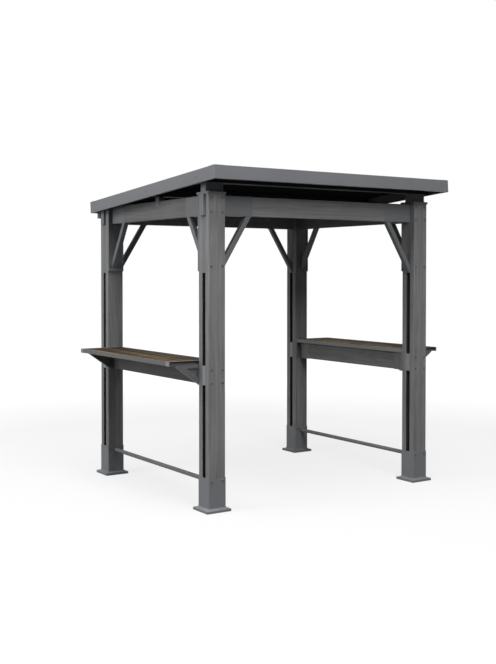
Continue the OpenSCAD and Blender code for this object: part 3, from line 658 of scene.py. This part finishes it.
def postCap():
    v, half, deep = capValues, legValues["halfWidth"], legValues["halfDepth"]
    bm = sheetBox((-half - v["room"], -deep - v["room"], capBottom),
                  (half + v["room"], deep + v["bracket"] + v["room"], capTop), ("under",), v["bend"])
    return walled(bm, v["wall"])


for end, endSign in ends.items():
    for side, sideSign in sides.items():
        dress(f"{end}_{side}_shoe", atLeg(shoe(), sideSign, endSign))
        dress(f"{end}_{side}_base_cover", atLeg(baseCover(), sideSign, endSign))
dress("post_caps", atEachLeg(postCap))
print("shoes and caps made")

# Bars: x is from a left leg's centre line, y from the middle of the bay or from the leg
barValues = {
    "outer": -0.313, "inner": 0.055, "reach": 0.7365,
    "band": 0.006, "bandEase": 0.0012, "endDepth": 0.025, "endWall": 0.002, "endBend": 0.002,
    "gap": 0.003, "plankEase": 0.0015, "apronEase": 0.003, "bracketEase": 0.0007,
}
# Factor for each plank from the outer edge to the inner one; the right bar's planks are much lighter as
# painted light, standing in for the light their tops lack
plankTonesAndLight = {"left": (1.15, 1.0, 0.6, 0.85), "right": (1.8, 1.3, 2.6, 3.2)}
firstPlank = {"left": 1.0, "right": 5.0}
cornerCapValues = {"sheet": 0.0015, "length": 0.042, "lip": 0.007, "legRoom": 0.0005, "bend": 0.0012}
hangerValues = {
    "half": 0.018, "wall": 0.002, "start": 0.071, "length": 0.070, "innerLength": 0.147,
    "bend": 0.002, "plateEase": 0.0006,
}
railValues = {"radius": 0.016, "wall": 0.002, "steps": 32}


# Each plank carries its factor, with painted light in it for the right bar, and a number, from which the
# stain takes its own stretch of grain
def barPlanks(v, tones, first):
    x0, x1 = v["outer"] + v["band"], v["inner"] - v["band"]
    step = (x1 - x0 + v["gap"]) / len(tones)
    reach = v["reach"] - v["endDepth"]
    parts = []
    for i, shade in enumerate(tones):
        plank = board((x0 + i * step, -reach, barBottom), (x0 + (i + 1) * step - v["gap"], reach, barTop),
                      v["plankEase"])
        number = plank.verts.layers.float.new("plankNumber")
        toneAndLight = plank.verts.layers.float.new("plankTone")
        for vert in plank.verts:
            vert[number] = first + i
            vert[toneAndLight] = shade
        parts.append(plank)
    return joined(parts)


# The two bands and the open channels at the ends; the inner band has a lighter copy of the coat, painted
# light, as the right bar's inner band gets less light
def barEdge(v):
    x0, x1 = v["outer"] + v["band"], v["inner"] - v["band"]
    parts = [board((low, -v["reach"], barBottom), (high, v["reach"], barTop), v["bandEase"])
             for low, high in ((v["outer"], x0), (x1, v["inner"]))]
    for face in parts[1].faces:
        face.material_index = 1
    for sign in (-1, 1):
        channel = sheetBox((x0, v["reach"] - v["endDepth"], barBottom), (x1, v["reach"], barTop),
                           ("left", "right", "back"), v["endBend"])
        parts.append(placed(walled(channel, v["endWall"]), Matrix.Diagonal((1, sign, 1, 1))))
    return joined(parts)


def barCornerCap():
    v, outer = cornerCapValues, barValues["outer"]
    y0 = legValues["halfDepth"] + v["legRoom"]
    bm = sheetBox((outer - v["sheet"], y0 - v["sheet"], barBottom - v["sheet"]),
                  (outer + v["lip"], y0 + v["length"], barTop), ("right", "back", "top"), v["bend"])
    return walled(bm, v["sheet"])


# A saddle under the apron's end, with a longer plate on its inner side
def apronHanger():
    v, bottom = hangerValues, levelsOf("apron_hangers")[0]
    half, end = v["half"] + v["wall"], v["start"] + v["length"]
    saddle = sheetBox((-half, v["start"], bottom), (half, end, barBottom),
                      ("front", "back", "top"), v["bend"])
    plate = board((v["half"], end, bottom), (half, v["start"] + v["innerLength"], barBottom),
                  v["plateEase"], 2)
    return joined([walled(saddle, v["wall"]), plate])


def footRail(node):
    low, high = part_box(node)
    v = railValues
    bm = bmesh.new()
    bmesh.ops.create_cone(bm, cap_ends=False, segments=v["steps"], radius1=v["radius"], radius2=v["radius"],
                          depth=high.y - low.y,
                          matrix=Matrix.Translation((low + high) / 2) @ Matrix.Rotation(math.pi / 2, 4, "X"))
    return walled(bm, v["wall"])


for name, sign in sides.items():
    dress(name + "_bar_planks", atSide(barPlanks(barValues, plankTonesAndLight[name], firstPlank[name]), sign))
    edge = dress(name + "_bar_edge", atSide(barEdge(barValues), sign))
    edge.data.materials.append(litInnerEdgeCoat)
    dress(name + "_bar_brackets", easedCopy(name + "_bar_brackets", barValues["bracketEase"]))
    dress(name + "_apron", board(*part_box(name + "_apron"), barValues["apronEase"]))
    dress(name + "_foot_rail", footRail(name + "_foot_rail"))
dress("bar_corner_caps", atEachLeg(barCornerCap))
dress("apron_hangers", atEachLeg(apronHanger))
print("bars made")

# The roof's own frame: x across, y down the slope from the front edge, z square to the roof
roofValues = {
    "fallDegrees": 4.1, "halfWidth": 1.095, "height": 0.095, "sheet": 0.002, "topFlange": 0.030, "lip": 0.018,
    "bend": 0.0025, "coverLength": 0.072, "coverSheet": 0.0015, "coverBend": 0.004, "coverSteps": 4,
    "strutEase": 0.0008,
}
ribValues = {
    "sheets": 3, "ribs": 10, "height": 0.018, "top": 0.022, "side": 0.010, "sheet": 0.0012,
    "edgeRoom": 0.0025, "joint": 0.0005, "bend": 0.0025, "sharpDegrees": 60.0,
}
purlinValues = {"halfWidth": 0.027, "height": 0.065, "corner": 0.005}
riserValues = {
    "halfWidth": 0.073, "halfDepth": 0.036, "wall": 0.003, "corner": 0.006,
    "rearHalfWidth": 0.080, "spare": 0.12,
}

fall = math.radians(roofValues["fallDegrees"])
frontLow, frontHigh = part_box("front_fascia")
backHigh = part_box("back_fascia")[1]
roofPlace = Matrix.Translation((0, frontLow.y + roofValues["height"] * math.sin(fall), frontHigh.z)) \
    @ Matrix.Rotation(-fall, 4, "X")
roofLength = (roofPlace.inverted() @ Vector((0, backHigh.y, backHigh.z))).y
sheetUnder = -roofValues["sheet"] - ribValues["height"]
purlinUnder = sheetUnder - purlinValues["height"]


# Front and back as one drawing: the outer face at y = 0, mitred at both ends
def crossFascia(v):
    half = v["halfWidth"]
    corners = [(-half, v["topFlange"], 0), (-half, 0, 0), (-half, 0, -v["height"]),
               (-half, v["lip"], -v["height"])]
    bm = foldedSheet(corners, (2 * half, 0, 0), v["bend"])
    for sign in (-1, 1):
        cutBeyond(bm, (sign * half, 0, 0), (sign, 1, 0))
    return bm


def sideFascia(v, length):
    half = v["halfWidth"]
    corners = [(-half + v["topFlange"], 0, 0), (-half, 0, 0), (-half, 0, -v["height"]),
               (-half + v["lip"], 0, -v["height"])]
    bm = foldedSheet(corners, (0, length, 0), v["bend"])
    cutBeyond(bm, (-half, 0, 0), (1, -1, 0))
    cutBeyond(bm, (-half, length, 0), (1, 1, 0))
    return bm


# Turns a skin's faces to a side, so that its wall goes behind them
def faced(bm, outward):
    face = max(bm.faces, key=lambda f: f.calc_area())
    if face.normal.dot(Vector(outward)) < 0:
        bmesh.ops.reverse_faces(bm, faces=bm.faces)
    return bm


def cornerCover(v):
    x, y, edge = -v["halfWidth"] - v["coverSheet"], -v["coverSheet"], v["coverLength"]
    corners = [(-v["halfWidth"] + edge, y, -v["height"]), (x, y, -v["height"]), (x, edge, -v["height"])]
    return foldedSheet(corners, (0, 0, v["height"]), v["coverBend"], v["coverSteps"])


# The upper face of a ribbed sheet, drawn out down the slope
def ribbedSheet(index, v, roof, length):
    span = 2 * (roof["halfWidth"] - v["edgeRoom"])
    width = span / v["sheets"]
    pitch = width / v["ribs"]
    left = -span / 2 + index * width
    right = left + width - (v["joint"] if index < v["sheets"] - 1 else 0)
    valley, crest = sheetUnder + v["sheet"], sheetUnder + v["height"]
    line = [(left, valley)]
    for i in range(v["ribs"]):
        x = left + (i + 0.5) * pitch
        line += [(x - v["top"] / 2 - v["side"], valley), (x - v["top"] / 2, crest),
                 (x + v["top"] / 2, crest), (x + v["top"] / 2 + v["side"], valley)]
    line.append((right, valley))
    bm = foldedSheet([(x, v["edgeRoom"], z) for x, z in line], (0, length - 2 * v["edgeRoom"], 0), v["bend"])
    return walled(faced(bm, (0, 0, 1)), v["sheet"])


def purlin(node, v):
    u = (roofPlace.inverted() @ middleOf(node)).y
    reach = roofValues["halfWidth"] - roofValues["sheet"]
    return placed(board((-reach, u - v["halfWidth"], purlinUnder), (reach, u + v["halfWidth"], sheetUnder),
                        v["corner"]), roofPlace)


# An upright box tube, cut to the slope under the purlins
def boxUnderPurlins(low, high, v):
    bm = sheetBox(low, high, ("under", "top"), v["corner"])
    slope = roofPlace.to_3x3() @ Vector((0, 0, 1))
    cutBeyond(bm, roofPlace @ Vector((0, 0, purlinUnder)), slope)
    return walled(bm, v["wall"])


def riser(side, v):
    x, y = side * legX, legY[-1]
    return boxUnderPurlins((x - v["halfWidth"], y - v["halfDepth"], capTop),
                           (x + v["halfWidth"], y + v["halfDepth"], capTop + v["spare"]), v)


def rearBrackets(v):
    low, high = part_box("rear_roof_brackets")
    return joined([boxUnderPurlins((side * legX - v["rearHalfWidth"], low.y, low.z),
                                   (side * legX + v["rearHalfWidth"], high.y, low.z + v["spare"]), v)
                   for side in (-1, 1)])


# The back fascia is the front one turned round, and the right one mirrors the left one
def dressFascias(v):
    turned = Matrix.Translation((0, roofLength, 0)) @ Matrix.Rotation(math.pi, 4, "Z")
    mirrored = Matrix.Diagonal((-1, 1, 1, 1))
    fascias = {
        "front": (crossFascia(v), (0, -1, 0), roofPlace),
        "back": (crossFascia(v), (0, -1, 0), roofPlace @ turned),
        "left": (sideFascia(v, roofLength), (-1, 0, 0), roofPlace),
        "right": (sideFascia(v, roofLength), (-1, 0, 0), roofPlace @ mirrored),
    }
    for name, (bm, outward, place) in fascias.items():
        dress(name + "_fascia", placed(walled(faced(bm, outward), v["sheet"]), place))


def dressCornerCovers(v):
    covers = []
    for x in (1, -1):
        for y in (1, -1):
            flip = Matrix.Translation((0, roofLength * (1 - y) / 2, 0)) @ Matrix.Diagonal((x, y, 1, 1))
            cover = walled(faced(cornerCover(v), (-1, -1, 0)), v["coverSheet"])
            covers.append(placed(cover, roofPlace @ flip))
    dress("fascia_corner_covers", joined(covers))


dressFascias(roofValues)
dressCornerCovers(roofValues)
for index, name in enumerate(("left", "middle", "right")):
    sheet = ribbedSheet(index, ribValues, roofValues, roofLength)
    dress(name + "_roof_sheet", placed(sheet, roofPlace), ribValues["sharpDegrees"])
for name in ("front_purlin", "middle_purlin", "rear_purlin"):
    dress(name, purlin(name, purlinValues))
dress("front_left_riser", riser(-1, riserValues))
dress("front_right_riser", riser(1, riserValues))
dress("rear_roof_brackets", rearBrackets(riserValues))
dress("mid_struts", easedCopy("mid_struts", roofValues["strutEase"]))
print("roof made")

# Plain pale floor: white to the camera where it is lit, with the object's soft shadow
floorValues = {
    "half": 30.0, "colour": (0.12, 0.12, 0.12), "glow": 0.8, "fadeFrom": 3.5, "fadeTo": 7.0, "drop": 0.0006,
}


def layFloor(values):
    bm = bmesh.new()
    bmesh.ops.create_grid(bm, x_segments=1, y_segments=1, size=values["half"])
    bmesh.ops.translate(bm, verts=bm.verts, vec=(0, 0, -values["drop"]))
    mesh = bpy.data.meshes.new("studioFloor")
    bm.to_mesh(mesh)
    bm.free()
    floor = bpy.data.objects.new("studioFloor", mesh)
    bpy.context.scene.collection.objects.link(floor)
    material, tree, output = newMaterial("studioFloor")
    coords = addNode(tree, "TexCoord")
    reach = addNode(tree, "VectorMath", {0: coords.outputs["Object"]}, operation="LENGTH").outputs["Value"]
    glow = rangeOf(tree, reach, values["fadeFrom"], values["fadeTo"], values["glow"], 1.0)
    ray = addNode(tree, "LightPath")
    seen = added(tree, ray.outputs["Is Camera Ray"], ray.outputs["Is Glossy Ray"])
    light = addNode(tree, "Emission", {"Color": (1, 1, 1, 1), "Strength": multiplied(tree, glow, seen)})
    matt = addNode(tree, "BsdfDiffuse", {"Color": (*values["colour"], 1.0)})
    both = addNode(tree, "AddShader", {0: matt.outputs["BSDF"], 1: light.outputs["Emission"]})
    tree.links.new(both.outputs["Shader"], output.inputs["Surface"])
    mesh.materials.append(material)


layFloor(floorValues)

# Soft lamps above, in front and on the left, and a dim sky
lampValues = {
    "top": {"place": (-1.6, -1.6, 8.0), "size": (5.0, 5.0), "power": 680.0},
    "front": {"place": (-1.3, -7.3, 6.0), "size": (3.0, 3.0), "power": 362.0},
    "left": {"place": (-6.8, 0.6, 5.4), "size": (3.0, 3.0), "power": 280.0},
    "low": {"place": (-9.0, 1.0, 2.4), "size": (4.0, 2.0), "power": 120.0},
}
lampTarget = Vector((0.0, 0.0, 1.1))
skyValues = {
    "strength": 0.13, "brightSide": (-0.6, 0.8, 0.0),
    "glossFrom": (-0.6, 0.4), "glossTo": (0.3, 0.9),        # how bright a reflection is, by the way it looks
}


def hangLamp(name, place, size, power):
    data = bpy.data.lights.new(name + "Lamp", "AREA")
    data.shape = "RECTANGLE"
    data.size, data.size_y = size
    data.energy = power
    lamp = bpy.data.objects.new(name + "Lamp", data)
    lamp.location = place
    lamp.rotation_euler = (lampTarget - Vector(place)).to_track_quat("-Z", "Y").to_euler()
    lamp.visible_camera = False
    bpy.context.scene.collection.objects.link(lamp)


for name, values in lampValues.items():
    hangLamp(name, **values)


# White to the camera; in reflections it is white on one side and paler grey on the other
def paintSky(values):
    world = bpy.data.worlds.new("studioSky")
    bpy.context.scene.world = world
    world.use_nodes = True
    tree = world.node_tree
    tree.nodes.clear()
    way = addNode(tree, "TexCoord").outputs["Generated"]
    facing = addNode(tree, "VectorMath", {0: way, 1: values["brightSide"]}, operation="DOT_PRODUCT")
    gloss = rangeOf(tree, facing.outputs["Value"], *values["glossFrom"], *values["glossTo"])
    ray = addNode(tree, "LightPath").outputs
    lit = addNode(tree, "Mix", {"Factor": ray["Is Glossy Ray"], "A": values["strength"], "B": gloss})
    strength = addNode(tree, "Mix", {"Factor": ray["Is Camera Ray"], "A": lit.outputs["Result"], "B": 1.0})
    back = addNode(tree, "Background", {"Color": (1, 1, 1, 1), "Strength": strength.outputs["Result"]})
    output = addNode(tree, "OutputWorld")
    tree.links.new(back.outputs["Background"], output.inputs["Surface"])


paintSky(skyValues)
bpy.context.scene.view_settings.view_transform = "Standard"
print("stage lit")
